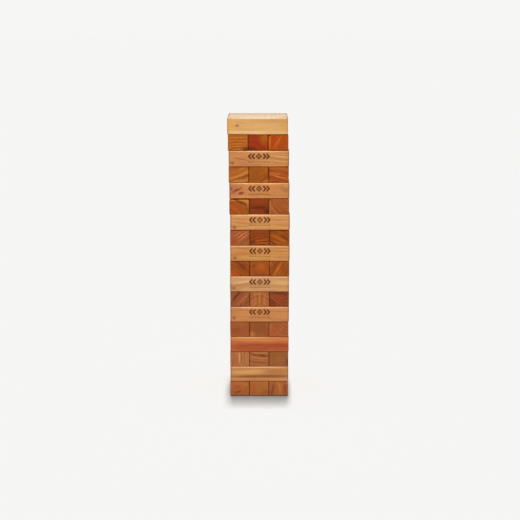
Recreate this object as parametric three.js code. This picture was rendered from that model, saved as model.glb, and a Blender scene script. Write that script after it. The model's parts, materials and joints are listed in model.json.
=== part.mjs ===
// Giant tumbling tower: planed softwood blocks with eased edges, laid three to
// a layer, each layer square across the one below. The blocks of an odd layer
// run front to back, so their ends face the front; the blocks of an even layer
// run left to right, so one long side faces the front.
// Millimetres, +Z up. The origin is on the ground at the middle of the
// footprint, and the front of the tower faces -Y.
import * as THREE from "three";

// ---- Driving dimensions, in millimetres ----
const BLOCK_LENGTH = 225; // three block widths, so a layer is square
const BLOCK_WIDTH = 74.5;
const BLOCK_HEIGHT = 59.7;
const EDGE_RADIUS = 3; // long edges, planed round
const END_CHAMFER = 2.5; // sawn ends, sanded off
const PITCH_ACROSS = 75.1; // block to block within a layer
const PITCH_UP = 60; // layer to layer
const LAYERS = 18;

// How each layer sits, from the bottom up: x and y of its middle, and its turn
// about the vertical in degrees. All three blocks of a layer share the turn, so
// each one slides out straight beside its neighbours.
const LAYER_PLACE = [
  [1.4, 0.0, 0.0],
  [1.9, 0.4, 0.12],
  [1.8, -0.5, -0.1],
  [2.4, 0.3, 0.18],
  [2.2, 0.6, -0.15],
  [2.9, -0.4, 0.1],
  [2.7, 0.2, 0.22],
  [3.05, -0.3, -0.1],
  [3.25, 0.5, 0.1],
  [3.75, -0.6, 0.16],
  [4.0, 0.1, -0.2],
  [4.15, 0.4, 0.12],
  [2.1, -0.8, -0.26],
  [1.9, 0.3, 0.1],
  [-0.8, -0.5, 0.28],
  [0.7, 0.8, -0.18],
  [-3.1, -0.4, 0.3],
  [-4.15, 0.5, -0.3],
];

// Per block, in millimetres: how far it stands along its own length, and how
// much lower it is than BLOCK_HEIGHT. The low ones are the loose blocks that a
// player finds by tapping. Keys are layer.position; blocks not listed are 0, 0.
const BLOCK_TRIM = {
  "1.left": [-0.4, 0.2],
  "1.right": [0.6, 0.1],
  "2.middle": [0.7, 0.0],
  "2.back": [-0.5, 0.4],
  "3.left": [0.3, 0.0],
  "3.centre": [-0.6, 0.3],
  "3.right": [0.8, 0.1],
  "4.front": [0.0, 0.0],
  "4.middle": [-1.1, 0.6],
  "4.back": [0.5, 0.0],
  "5.left": [-0.7, 0.0],
  "5.centre": [0.9, 0.2],
  "5.right": [-0.2, 0.5],
  "6.middle": [0.6, 0.8],
  "6.back": [-0.8, 0.1],
  "7.left": [0.5, 0.1],
  "7.centre": [-1.0, 0.4],
  "7.right": [0.2, 0.0],
  "8.middle": [-0.6, 0.0],
  "8.back": [0.9, 0.5],
  "9.left": [0.8, 0.3],
  "9.centre": [-0.3, 0.0],
  "9.right": [-0.9, 0.2],
  "10.middle": [1.0, 1.0],
  "10.back": [-0.4, 0.0],
  "11.left": [-0.5, 1.4],
  "11.centre": [0.4, 0.0],
  "11.right": [-0.8, 2.4],
  "12.middle": [-0.7, 0.2],
  "12.back": [0.3, 0.9],
  "13.left": [-1.2, 3.4],
  "13.centre": [0.6, 0.0],
  "13.right": [-0.6, 1.4],
  "14.middle": [0.8, 0.0],
  "14.back": [-0.9, 0.7],
  "15.left": [0.7, 0.4],
  "15.centre": [-0.5, 0.0],
  "15.right": [0.3, 0.2],
  "16.middle": [-0.9, 1.2],
  "16.back": [0.5, 0.0],
  "17.left": [-0.6, 0.3],
  "17.centre": [0.9, 0.0],
  "17.right": [-1.0, 0.6],
  "18.front": [0.0, 0.0],
  "18.middle": [0.6, 0.0],
  "18.back": [-0.7, 0.3],
};

// ---- Timber tones ----
const TONES = {
  honey: 0xd8a565,
  tan: 0xc68654,
  amber: 0xb06a2c,
  russet: 0xa8562c,
  umber: 0x8c4a20,
};
const LAYER_TONES = [
  ["russet", "amber", "russet"],
  ["tan", "honey", "tan"],
  ["amber", "amber", "umber"],
  ["russet", "tan", "russet"],
  ["russet", "umber", "russet"],
  ["tan", "honey", "tan"],
  ["umber", "amber", "umber"],
  ["honey", "tan", "honey"],
  ["umber", "amber", "umber"],
  ["tan", "tan", "honey"],
  ["russet", "umber", "amber"],
  ["tan", "honey", "tan"],
  ["russet", "umber", "russet"],
  ["tan", "tan", "russet"],
  ["amber", "umber", "russet"],
  ["tan", "tan", "honey"],
  ["amber", "russet", "russet"],
  ["honey", "tan", "honey"],
];
const materials = Object.fromEntries(
  Object.entries(TONES).map(([name, color]) => [
    name,
    new THREE.MeshStandardMaterial({ color, roughness: 0.6, metalness: 0 }),
  ]),
);

// A block's section across its length: a rectangle with rounded corners, each
// corner an arc of two chords.
function section(width, height, radius) {
  const points = [];
  const corners = [
    [1, -1, -90],
    [1, 1, 0],
    [-1, 1, 90],
    [-1, -1, 180],
  ];
  for (const [sx, sy, start] of corners)
    for (const step of [0, 45, 90]) {
      const angle = THREE.MathUtils.degToRad(start + step);
      points.push(
        new THREE.Vector2(
          sx * (width / 2 - radius) + radius * Math.cos(angle),
          sy * (height / 2 - radius) + radius * Math.sin(angle),
        ),
      );
    }
  return new THREE.Shape(points);
}

// One block, centred on its own origin: X along it, Y across, Z up.
function blockGeometry(height) {
  const geometry = new THREE.ExtrudeGeometry(
    section(BLOCK_WIDTH, height, EDGE_RADIUS),
    {
      depth: BLOCK_LENGTH - 2 * END_CHAMFER,
      steps: 1,
      bevelEnabled: true,
      bevelThickness: END_CHAMFER,
      bevelSize: END_CHAMFER,
      bevelOffset: -END_CHAMFER,
      bevelSegments: 1,
    },
  );
  geometry.translate(0, 0, END_CHAMFER - BLOCK_LENGTH / 2);
  geometry.applyMatrix4(
    new THREE.Matrix4().makeBasis(
      new THREE.Vector3(0, 1, 0),
      new THREE.Vector3(0, 0, 1),
      new THREE.Vector3(1, 0, 0),
    ),
  );
  return geometry;
}

const tower = new THREE.Group();

for (let layer = 1; layer <= LAYERS; layer++) {
  const [x, y, turn] = LAYER_PLACE[layer - 1];
  const endsToFront = layer % 2 === 1;
  const names = endsToFront
    ? ["left", "centre", "right"]
    : ["front", "middle", "back"];
  const group = new THREE.Group();
  group.position.set(x, y, (layer - 1) * PITCH_UP);
  group.rotation.z = THREE.MathUtils.degToRad(turn);
  names.forEach((name, i) => {
    const [along, lower] = BLOCK_TRIM[`${layer}.${name}`] ?? [0, 0];
    const height = BLOCK_HEIGHT - lower;
    const across = (i - 1) * PITCH_ACROSS;
    const block = new THREE.Mesh(
      blockGeometry(height),
      materials[LAYER_TONES[layer - 1][i]],
    );
    block.name = `layer_${String(layer).padStart(2, "0")}_${name}`;
    if (endsToFront) {
      block.position.set(across, along, height / 2);
      block.rotation.z = Math.PI / 2;
    } else {
      block.position.set(along, across, height / 2);
    }
    group.add(block);
  });
  tower.add(group);
}

export default tower;
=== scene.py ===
"""Giant tumbling tower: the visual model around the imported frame. Metres, +Z up, the front faces -Y."""

import json
import math

import bpy
import numpy as np
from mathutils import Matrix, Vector


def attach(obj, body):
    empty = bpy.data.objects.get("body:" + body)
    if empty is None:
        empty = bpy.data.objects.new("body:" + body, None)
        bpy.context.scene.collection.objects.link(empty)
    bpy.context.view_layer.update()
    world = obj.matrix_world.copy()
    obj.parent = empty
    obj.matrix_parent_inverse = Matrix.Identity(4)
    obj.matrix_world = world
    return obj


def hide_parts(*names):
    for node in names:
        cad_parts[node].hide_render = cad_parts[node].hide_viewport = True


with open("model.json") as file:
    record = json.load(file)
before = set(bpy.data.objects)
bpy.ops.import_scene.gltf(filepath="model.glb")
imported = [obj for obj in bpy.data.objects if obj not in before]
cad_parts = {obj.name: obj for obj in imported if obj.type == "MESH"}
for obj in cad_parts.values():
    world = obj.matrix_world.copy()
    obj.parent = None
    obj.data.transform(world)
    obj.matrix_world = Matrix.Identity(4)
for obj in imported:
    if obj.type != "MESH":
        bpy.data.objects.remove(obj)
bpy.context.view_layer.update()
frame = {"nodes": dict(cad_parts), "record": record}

MM = 0.001


def lin(c):
    """sRGB 0-255 to linear."""
    out = []
    for v in c:
        v = v / 255.0
        out.append(v / 12.92 if v <= 0.04045 else ((v + 0.055) / 1.055) ** 2.4)
    return tuple(out)


# --------------------------------------------------------------------------
# Camera, floor, light
# --------------------------------------------------------------------------
F_PX = 1088.7
CAM_D = 4.028
CAM_H = 1.4655
CAM_PITCH = math.radians(12.88)
CAM_X = 0.0045

cam_data = bpy.data.cameras.new("camera")
cam_data.sensor_width = 36.0
cam_data.lens = F_PX / 520.0 * 36.0
cam_data.clip_start = 0.05
cam_data.clip_end = 200.0
cam = bpy.data.objects.new("camera", cam_data)
cam.location = (CAM_X, -0.1125 - CAM_D, CAM_H)
cam.rotation_euler = (math.pi / 2 - CAM_PITCH, 0.0, 0.0)
bpy.context.scene.collection.objects.link(cam)
bpy.context.scene.camera = cam

scene = bpy.context.scene
scene.view_settings.view_transform = "Standard"
scene.view_settings.look = "None"
scene.view_settings.exposure = 0.0
scene.view_settings.gamma = 1.0

BACK = lin((246, 246, 244))


def make_world():
    """White to the eye, and dimmer as a fill and in reflections, so that the lamps shape the blocks."""
    world = bpy.data.worlds.new("studio")
    scene.world = world
    world.use_nodes = True
    nt = world.node_tree
    nt.nodes.clear()
    out = nt.nodes.new("ShaderNodeOutputWorld")
    bg = nt.nodes.new("ShaderNodeBackground")
    path = nt.nodes.new("ShaderNodeLightPath")
    k = nt.nodes.new("ShaderNodeMath")
    k.operation = "MULTIPLY_ADD"
    k.inputs[1].default_value = 1.0 - WORLD_FILL
    k.inputs[2].default_value = WORLD_FILL
    nt.links.new(path.outputs["Is Camera Ray"], k.inputs[0])
    nt.links.new(k.outputs[0], bg.inputs["Strength"])
    bg.inputs["Color"].default_value = (*BACK, 1)
    nt.links.new(bg.outputs["Background"], out.inputs["Surface"])


WORLD_FILL = 0.34
FLOOR_ALBEDO = 0.32
FLOOR_SUN = 8.06


def make_floor():
    me = bpy.data.meshes.new("studio_floor")
    n = 64
    ring = [
        (60 * math.cos(2 * math.pi * i / n), 60 * math.sin(2 * math.pi * i / n), 0.0)
        for i in range(n)
    ]
    me.from_pydata(ring, [], [list(range(n))])
    ob = bpy.data.objects.new("studio_floor", me)
    scene.collection.objects.link(ob)
    ob.location.z = -0.0002
    mat = bpy.data.materials.new("studio_floor")
    mat.use_nodes = True
    nt = mat.node_tree
    nt.nodes.clear()
    out = nt.nodes.new("ShaderNodeOutputMaterial")
    mix = nt.nodes.new("ShaderNodeMixShader")
    path = nt.nodes.new("ShaderNodeLightPath")
    seen = nt.nodes.new("ShaderNodeBsdfDiffuse")
    lit = nt.nodes.new("ShaderNodeBsdfDiffuse")
    seen.inputs["Color"].default_value = (FLOOR_ALBEDO * 0.998, FLOOR_ALBEDO * 1.002, FLOOR_ALBEDO * 0.99, 1)
    lit.inputs["Color"].default_value = (0.42, 0.42, 0.41, 1)
    nt.links.new(path.outputs["Is Diffuse Ray"], mix.inputs[0])
    nt.links.new(seen.outputs[0], mix.inputs[1])
    nt.links.new(lit.outputs[0], mix.inputs[2])
    shine = nt.nodes.new("ShaderNodeMixShader")
    dim = nt.nodes.new("ShaderNodeBsdfDiffuse")
    dim.inputs["Color"].default_value = (0.1, 0.1, 0.1, 1)
    nt.links.new(path.outputs["Is Glossy Ray"], shine.inputs[0])
    nt.links.new(mix.outputs[0], shine.inputs[1])
    nt.links.new(dim.outputs[0], shine.inputs[2])
    nt.links.new(shine.outputs[0], out.inputs["Surface"])
    me.materials.append(mat)
    return ob


def lamp(name, kind, at, to, energy, light_on, **props):
    d = bpy.data.lights.new(name, kind)
    d.energy = energy
    for k, v in props.items():
        setattr(d, k, v)
    ob = bpy.data.objects.new(name, d)
    ob.location = at
    ob.rotation_mode = "QUATERNION"
    ob.rotation_quaternion = (Vector(to) - Vector(at)).to_track_quat("-Z", "Y")
    scene.collection.objects.link(ob)
    ob.light_linking.receiver_collection = light_on
    return ob


lit_floor = bpy.data.collections.new("lit_floor")
lit_blocks = bpy.data.collections.new("lit_blocks")
make_world()
lit_floor.objects.link(make_floor())
# A row of overhead lamps, from just in front to well behind, gives the soft
# contact shadow that reaches forward from the foot of the tower.
TILTS = (-2.2, -0.4, 1.2, 2.7, 4.0, 5.2, 6.2, 7.3)
for i, deg in enumerate(TILTS):
    t = math.radians(deg)
    lamp(
        f"overhead_{i}", "SUN", (0, 10 * math.sin(t), 10 * math.cos(t)), (0, 0, 0),
        FLOOR_SUN / len(TILTS), lit_floor, angle=math.radians(2.6),
    )
# Distant lamps, so that every layer is lit alike.
def sun(name, az, el, power, angle):
    """az from the front, positive to the right; el above the floor, both in degrees."""
    a, e = math.radians(az), math.radians(el)
    at = (10 * math.sin(a) * math.cos(e), -10 * math.cos(a) * math.cos(e), 10 * math.sin(e))
    lamp(name, "SUN", at, (0, 0, 0), power, lit_blocks, angle=math.radians(angle))


sun("key", -18, 46, 1.6, 24)
sun("fill", 30, 12, 0.42, 30)
sun("above", 5, 80, 0.62, 30)
sun("left", -132, 30, 0.6, 30)
sun("right", 136, 30, 0.6, 30)
sun("back", 180, 30, 0.6, 30)


# --------------------------------------------------------------------------
# Block table
# --------------------------------------------------------------------------
# pith: (y, z) of the log's centre from the middle of the block's section, in
# mm, seen with the block's own +X away from the viewer for a block whose end
# faces the front. ring: ring width in mm. end, long: colours of the sawn ends
# and of the planed sides. heart: radius of the reddish heart in mm, 0 for none.
# paint: soft ovals of another tone on the face; most are the wood's stains, but the thin strips at v 27.5 to 31.2 on
# the long front blocks are a painted highlight along the lit top edge
BLOCKS = {}


def b(layer, pos, **k):
    BLOCKS[f"layer_{layer:02d}_{pos}"] = k


b(1, "left", deep=0.9, end=(163, 91, 47), long=(190, 122, 74), pith=(-44, 30), ring=9, figure=0.35, paint=[
    (-8, 8, 15, 10, 30, 0.6, (172, 74, 44), 0.55), (-8, -13, 15, 3.5, 24, 0.6, (146, 58, 24), 0.7), (14, 20, 26, 9, -8, 0.7, (178, 104, 48), 0.5)])
b(1, "centre", end=(167, 96, 49), long=(200, 136, 84), pith=(50, 40), ring=10, figure=0.3, paint=[
    (-20, 6, 8, 22, 0, 0.8, (180, 84, 52), 0.5), (24, -14, 16, 5, 30, 0.7, (152, 84, 44), 0.5)])
b(1, "right", deep=0.7, end=(166, 95, 52), long=(196, 130, 78), pith=(8, 62), ring=8, figure=0.4, paint=[
    (-22, -2, 5, 26, -12, 0.8, (150, 66, 38), 0.7), (6, 0, 5.5, 24, 12, 0.8, (188, 116, 62), 0.6), (27, 0, 6, 22, 6, 0.8, (138, 70, 40), 0.6)])
b(2, "front", deep=0.6, long=(195, 136, 86), end=(170, 98, 50), pith=(-20, -36), ring=9, tilt=(0.010, -0.012), heart=0, paint=[
    (-40, 9, 62, 9, 2, 0.5, (210, 158, 98), 0.8), (66, 6, 44, 12, -3, 0.5, (188, 122, 66), 0.6),
    (10, -9.5, 118, 5.2, 0.6, 0.5, (162, 98, 52), 0.85), (0, -23, 125, 5.5, 0, 0.4, (208, 138, 86), 0.75),
    # the last strip here, along the top edge, is a painted highlight
    (0, 27.5, 125, 3.2, 0, 0.4, (238, 172, 132), 0.7)])
b(3, "left", deep=0.7, end=(172, 108, 63), long=(202, 140, 88), pith=(-110, 10), ring=9, paint=[
    (-24, 0, 9, 30, 4, 0.7, (180, 98, 52), 0.5), (-1, 4, 3.2, 20, 3, 0.8, (202, 140, 88), 0.7), (-12, 2, 2.2, 22, 2, 0.8, (160, 92, 48), 0.5), (6, 6, 2.2, 15, -3, 0.8, (158, 94, 52), 0.5)])
b(3, "centre", deep=0.7, end=(162, 96, 55), long=(192, 126, 80), pith=(6, 86), ring=13, paint=[
    (12, 16, 20, 4.6, -10, 0.6, (132, 72, 32), 0.8), (-20, 20, 14, 3.6, -26, 0.6, (138, 78, 38), 0.7), (0, 27, 34, 2.6, 0, 0.5, (190, 122, 76), 0.6), (-4, 6, 30, 3.6, -8, 0.6, (184, 114, 68), 0.6)])
b(3, "right", end=(154, 92, 51), long=(190, 126, 78), pith=(-60, 70), ring=13, figure=0.25, paint=[
    (35, -12, 5, 14, 0, 0.7, (104, 46, 28), 0.85), (-6, 6, 26, 20, 0, 0.8, (164, 102, 58), 0.5)])
b(4, "front", deep=0.2, long=(183, 97, 55), end=(158, 76, 36), pith=(30, -92), ring=9, tilt=(0.006, -0.010), paint=[
    # the second oval here, along the top edge, is a painted highlight
    (0, 22, 130, 11, -0.6, 0.35, (204, 128, 78), 0.85), (-50, 27.5, 70, 2.8, 0, 0.5, (222, 150, 102), 0.7),
    (0, -12, 130, 15, 0.8, 0.4, (172, 76, 38), 0.7), (-20, -3, 90, 2.6, 1.0, 0.6, (152, 62, 30), 0.5),
    (44, -6, 26, 7, 12, 0.6, (168, 70, 38), 0.6), (40, -20, 12, 6, 20, 0.7, (186, 96, 70), 0.5), (90, -4, 26, 8, -4, 0.6, (160, 62, 28), 0.6),
    (92, 14, 34, 7, -6, 0.6, (200, 104, 52), 0.6)])
b(5, "left", deep=0.7, end=(158, 83, 45), long=(186, 112, 66), pith=(-20, 80), ring=13, figure=0.25, paint=[
    (-14, -6, 18, 16, 0, 0.8, (164, 74, 36), 0.5), (0, 22, 32, 6, 0, 0.7, (170, 96, 54), 0.4)])
b(5, "centre", end=(152, 83, 46), long=(184, 116, 70), pith=(-55, -60), ring=13, figure=0.3, paint=[
    (-28, -20, 11, 11, 0, 0.7, (182, 122, 72), 0.7), (6, 6, 22, 18, 0, 0.8, (150, 78, 40), 0.5)])
b(5, "right", end=(168, 90, 51), long=(192, 120, 72), pith=(35, 55), ring=12, figure=0.4, paint=[
    (-16, -6, 18, 6, 25, 0.7, (182, 88, 48), 0.6), (10, 2, 9, 3, 30, 0.7, (192, 120, 74), 0.5), (-35, 0, 2.2, 26, 0, 0.6, (196, 126, 84), 0.5)])
b(6, "front", long=(197, 132, 80), end=(168, 92, 44), pith=(-84, 20), ring=11, tilt=(0.0, 0.008), paint=[
    (-98, -14, 7, 6, 0, 0.8, (182, 108, 60), 0.6), (-30, 17, 70, 1.6, 0.6, 0.7, (176, 104, 56), 0.6), (66, 12, 42, 2.4, -1, 0.7, (186, 108, 54), 0.6),
    # the last strip here, along the top edge, is a painted highlight
    (76, 1, 40, 5, 0, 0.7, (200, 140, 78), 0.5), (-60, 4, 44, 8, 2, 0.7, (204, 140, 80), 0.5), (0, 27.8, 125, 2.4, 0, 0.5, (240, 172, 126), 0.9)])
b(7, "left", deep=0.8, end=(150, 83, 47), long=(184, 116, 72), pith=(42, -34), ring=14, paint=[
    (-12, 16, 20, 4.5, 44, 0.7, (122, 52, 20), 0.75), (-20, 0, 4, 14, -12, 0.7, (140, 62, 28), 0.6), (14, 2, 28, 6, 48, 0.7, (176, 106, 70), 0.65)])
b(7, "centre", end=(173, 101, 54), long=(204, 140, 86), pith=(0, -40), ring=9, paint=[
    (-18, 0, 2.6, 26, 4, 0.8, (192, 122, 66), 0.6), (-9, 2, 2.2, 24, 2, 0.8, (168, 94, 44), 0.6), (0, 4, 3, 24, 0, 0.8, (196, 128, 72), 0.6), (8, 2, 2.4, 24, -3, 0.8, (164, 90, 44), 0.6),
    (18, -4, 3, 22, -6, 0.8, (192, 124, 72), 0.6), (-4, 24, 26, 4, 0, 0.7, (196, 128, 74), 0.5)])
b(7, "right", deep=0.8, end=(140, 68, 39), long=(176, 98, 60), pith=(44, 64), ring=13, paint=[
    (-16, -2, 26, 3, -46, 0.7, (160, 82, 56), 0.6), (-24, -14, 20, 2.6, -46, 0.7, (118, 46, 22), 0.7), (4, 8, 22, 6, -20, 0.7, (154, 76, 52), 0.5), (0, 24, 36, 4, -4, 0.6, (122, 56, 26), 0.6)])
b(8, "front", long=(203, 149, 98), end=(176, 108, 58), pith=(-110, -30), ring=12, tilt=(0.004, 0.006), paint=[
    (-98, -14, 7, 6, 0, 0.8, (182, 126, 74), 0.7), (-66, 8, 34, 4.5, 8, 0.7, (222, 172, 118), 0.7), (-62, 0, 40, 2.4, 6, 0.7, (188, 128, 78), 0.6),
    # the last strip here, along the top edge, is a painted highlight
    (82, 6, 34, 9, 0, 0.7, (218, 168, 98), 0.6), (60, -10, 50, 5, 2, 0.7, (204, 146, 100), 0.5), (0, 27.8, 125, 2.4, 0, 0.5, (238, 180, 130), 0.9)])
b(9, "left", deep=0.9, end=(151, 74, 29), long=(184, 112, 64), pith=(-60, -72), ring=16, paint=[
    (-26, -20, 24, 12, -32, 0.7, (178, 78, 32), 0.65), (10, 8, 20, 11, -38, 0.7, (136, 60, 26), 0.7), (28, 22, 9, 6, 0, 0.7, (158, 84, 52), 0.5)])
b(9, "centre", deep=0.7, end=(161, 82, 33), long=(190, 120, 70), pith=(2, 3), ring=10, figure=0.45, paint=[
    (4, 8, 15, 11, 0, 0.7, (182, 94, 42), 0.65), (-24, 12, 8, 5, 40, 0.7, (136, 72, 20), 0.6), (0, -24, 30, 5, 0, 0.7, (146, 66, 20), 0.5)])
b(9, "right", deep=0.45, end=(158, 78, 32), long=(190, 118, 68), pith=(98, -64), ring=15, paint=[
    (-8, -4, 30, 5, 62, 0.7, (186, 100, 54), 0.7), (-35, 20, 3.6, 8, 0, 0.7, (186, 112, 76), 0.8), (-24, 10, 16, 3, 56, 0.7, (140, 68, 26), 0.6), (22, -4, 14, 20, 0, 0.8, (156, 72, 26), 0.5)])
b(10, "front", long=(200, 136, 75), end=(170, 96, 42), pith=(-88, -48), ring=10, tilt=(0.008, 0.004), paint=[
    (-95, -18, 8, 6, 0, 0.8, (174, 104, 50), 0.75), (-70, 20, 34, 2.2, -6, 0.7, (176, 108, 56), 0.7), (-60, 3, 44, 2.6, -2, 0.7, (184, 118, 60), 0.5),
    # the last strip here, along the top edge, is a painted highlight
    (-30, -14, 70, 7, 0, 0.7, (204, 150, 74), 0.6), (70, 9, 36, 2.2, -1, 0.7, (178, 108, 54), 0.6), (80, -4, 34, 6, 0, 0.7, (204, 140, 68), 0.5), (0, 27.8, 125, 2.4, 0, 0.5, (238, 174, 122), 0.9)])
b(11, "left", deep=0.7, end=(169, 93, 51), long=(196, 126, 78), pith=(-46, 72), ring=11, paint=[
    (8, 12, 24, 1.8, 34, 0.7, (206, 132, 92), 0.75), (16, 4, 20, 1.8, 36, 0.7, (202, 126, 84), 0.7), (0, 20, 20, 1.6, 32, 0.7, (200, 124, 84), 0.6),
    (16, -18, 18, 8, 24, 0.7, (164, 102, 50), 0.7), (-24, -14, 12, 12, 0, 0.8, (176, 80, 44), 0.6), (14, -7, 20, 1.6, 36, 0.7, (148, 76, 36), 0.6)])
b(11, "centre", deep=0.9, end=(145, 70, 22), long=(182, 110, 58), pith=(4, -78), ring=11, paint=[
    (6, -10, 30, 2.4, 12, 0.7, (174, 92, 54), 0.75), (10, -19, 26, 2.4, 4, 0.7, (170, 88, 50), 0.7), (-26, -16, 10, 5, 10, 0.7, (118, 48, 8), 0.7), (2, -15, 28, 1.8, 8, 0.7, (116, 48, 12), 0.6),
    (4, 10, 30, 1.6, 4, 0.7, (168, 86, 40), 0.5), (2, 2, 30, 1.5, 5, 0.7, (164, 82, 38), 0.5)])
b(11, "right", deep=1.1, end=(157, 79, 29), long=(188, 116, 62), pith=(-52, -92), ring=15, paint=[
    (-4, 0, 34, 5, -24, 0.7, (180, 98, 50), 0.65), (-26, -16, 16, 3, -36, 0.7, (124, 54, 18), 0.75), (18, 4, 20, 4, -20, 0.7, (148, 58, 14), 0.65), (-8, 18, 24, 6, -10, 0.7, (164, 90, 32), 0.5), (6, -20, 26, 4, -16, 0.7, (176, 94, 40), 0.5)])
b(12, "front", long=(203, 141, 85), end=(172, 98, 46), pith=(-100, 34), ring=10, tilt=(-0.006, 0.004), paint=[
    (-97, -20, 7.5, 6, 0, 0.8, (178, 104, 50), 0.75), (-76, 12, 30, 2, -3, 0.7, (184, 116, 62), 0.6), (-72, -2, 34, 3, -2, 0.7, (190, 114, 60), 0.6), (66, -12, 48, 2.6, -1, 0.7, (188, 138, 56), 0.6),
    # the last strip here, along the top edge, is a painted highlight
    (76, 9, 36, 1.8, 1, 0.7, (186, 118, 66), 0.6), (-10, -12, 60, 5, 0, 0.7, (210, 154, 90), 0.5), (0, 27.8, 125, 2.4, 0, 0.5, (242, 180, 122), 0.9)])
b(13, "left", deep=0.9, end=(164, 82, 31), long=(192, 122, 66), pith=(-40, -44), ring=20, paint=[
    (30, 22, 13, 22, 0, 0.6, (190, 118, 74), 0.8), (0, 27, 38, 4, 0, 0.5, (192, 122, 76), 0.85), (6, 19, 28, 4, -22, 0.6, (138, 72, 12), 0.85), (26, 2, 5, 14, 16, 0.7, (140, 76, 24), 0.7), (-18, -2, 16, 13, 0, 0.8, (184, 82, 30), 0.7), (0, -22, 34, 7, 0, 0.7, (168, 86, 40), 0.5)])
b(13, "centre", deep=1.0, end=(131, 60, 20), long=(170, 96, 48), pith=(10, -96), ring=13, figure=0.4, paint=[
    (0, 20, 34, 10, 0, 0.6, (152, 66, 20), 0.7), (0, -4, 34, 4, 0, 0.7, (116, 36, 6), 0.75), (30, -18, 12, 10, 0, 0.7, (112, 42, 8), 0.7), (-14, -18, 18, 5, 0, 0.7, (142, 64, 30), 0.5)])
b(13, "right", end=(162, 87, 41), long=(192, 124, 72), pith=(62, 62), ring=15, figure=0.3, paint=[
    (-35.5, 0, 2.6, 28, 0, 0.5, (204, 134, 94), 0.7), (0, 28.5, 34, 2, 0, 0.5, (196, 122, 80), 0.6), (-20, -12, 24, 4, -44, 0.7, (190, 108, 66), 0.65), (-8, -16, 20, 3, -44, 0.7, (146, 70, 26), 0.6), (20, -22, 16, 6, -6, 0.7, (150, 76, 26), 0.6)])
b(14, "front", long=(198, 131, 79), end=(170, 92, 44), pith=(-92, 8), ring=11, tilt=(0.004, -0.006), paint=[
    (-92, 4, 24, 18, 0, 0.7, (196, 112, 78), 0.7), (-84, 3, 19, 3.2, 26, 0.6, (158, 66, 38), 0.85), (-104, 6, 4, 6, 0, 0.7, (128, 64, 50), 0.7), (-94, -6, 16, 2.2, 24, 0.7, (176, 88, 54), 0.7),
    (-68, -10, 10, 5.2, 16, 0.6, (164, 62, 28), 0.9), (-76, -12, 3.6, 3, 0, 0.7, (118, 50, 44), 0.7), (-84, -16, 14, 4, 20, 0.7, (202, 124, 96), 0.6),
    # the last strip here, along the top edge, is a painted highlight
    (96, 4, 18, 8, -20, 0.8, (178, 116, 70), 0.7), (0, 27.8, 125, 2.4, 0, 0.5, (238, 172, 122), 0.9)])
b(15, "left", end=(176, 99, 37), long=(204, 138, 74), pith=(-34, 104), ring=26, paint=[
    (12, 2, 36, 4.5, 22, 0.6, (204, 128, 72), 0.75), (10, -9, 30, 2.4, 20, 0.6, (148, 66, 22), 0.75), (8, -23, 36, 6, 6, 0.5, (194, 122, 76), 0.85), (-20, 10, 20, 14, 0, 0.8, (182, 98, 28), 0.5)])
b(15, "centre", deep=0.7, end=(157, 85, 30), long=(188, 120, 62), pith=(-40, 106), ring=22, figure=0.3, paint=[
    (20, -16, 20, 2.6, 36, 0.7, (134, 62, 20), 0.65), (36, 10, 4, 22, 0, 0.7, (132, 56, 14), 0.7), (28, -24, 10, 5, 20, 0.7, (186, 112, 64), 0.6), (-8, 4, 26, 20, 0, 0.8, (160, 88, 30), 0.4), (28, 18, 7, 9, 0, 0.8, (176, 102, 48), 0.4)])
b(15, "right", end=(171, 87, 36), long=(198, 124, 70), pith=(-20, -96), ring=24, paint=[
    (-16, 4, 22, 2.2, -4, 0.6, (212, 124, 78), 0.8), (-2, -7, 34, 2.4, -16, 0.6, (210, 126, 84), 0.8), (-8, 0, 26, 2.4, -8, 0.6, (170, 62, 18), 0.7), (-6, -16, 32, 5, -12, 0.7, (168, 70, 26), 0.6), (6, 20, 30, 8, -4, 0.7, (186, 102, 58), 0.6), (24, 4, 12, 10, -16, 0.8, (184, 84, 44), 0.5)])
b(16, "front", long=(200, 135, 84), end=(174, 98, 46), pith=(-96, -16), ring=12, tilt=(0.007, -0.004), paint=[
    (-98, -15, 7, 6, 0, 0.8, (162, 94, 50), 0.75), (-70, 0, 34, 2.6, -14, 0.7, (178, 104, 56), 0.75), (-52, -18, 26, 8, -4, 0.8, (202, 122, 88), 0.6), (-86, 14, 30, 9, 0, 0.8, (206, 132, 84), 0.5),
    # the last strip here, along the top edge, is a painted highlight
    (80, 8, 36, 2, -7, 0.7, (222, 162, 104), 0.7), (82, -3, 34, 1.8, -7, 0.7, (182, 116, 64), 0.6), (84, -10, 34, 2, -5, 0.7, (220, 158, 102), 0.6), (82, 14, 34, 1.6, -6, 0.7, (180, 112, 62), 0.6), (0, 27.8, 125, 2.4, 0, 0.5, (244, 186, 138), 0.9)])
b(17, "left", end=(179, 100, 38), long=(206, 138, 74), pith=(-3, -52), ring=17, paint=[
    (30, -23, 13, 8, -20, 0.7, (132, 56, 6), 0.85), (0, 19, 30, 2.2, 2, 0.7, (204, 122, 66), 0.7), (2, 8, 27, 1.9, 0, 0.7, (202, 118, 58), 0.65), (0, -4, 22, 1.9, 0, 0.7, (204, 124, 62), 0.65), (2, -14, 20, 1.9, 0, 0.7, (200, 122, 58), 0.6),
    (32, 20, 7, 12, 0, 0.8, (188, 112, 76), 0.6), (0, 13, 30, 1.8, 2, 0.7, (158, 78, 20), 0.6), (0, 2, 26, 1.6, 0, 0.7, (160, 78, 18), 0.55), (0, -9, 22, 1.6, 0, 0.7, (158, 80, 18), 0.55)])
b(17, "centre", deep=0.3, end=(162, 60, 12), long=(186, 104, 46), pith=(-30, -60), ring=26, figure=0.6, paint=[
    (28, 22, 20, 24, -24, 0.7, (178, 106, 48), 0.92), (36, 0, 3, 26, 0, 0.7, (170, 90, 38), 0.6), (-28, -24, 24, 8, 0, 0.7, (128, 40, 4), 0.85), (-10, 4, 13, 20, 0, 0.8, (172, 58, 14), 0.5), (14, -24, 26, 5, 0, 0.8, (146, 52, 6), 0.5)])
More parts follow.
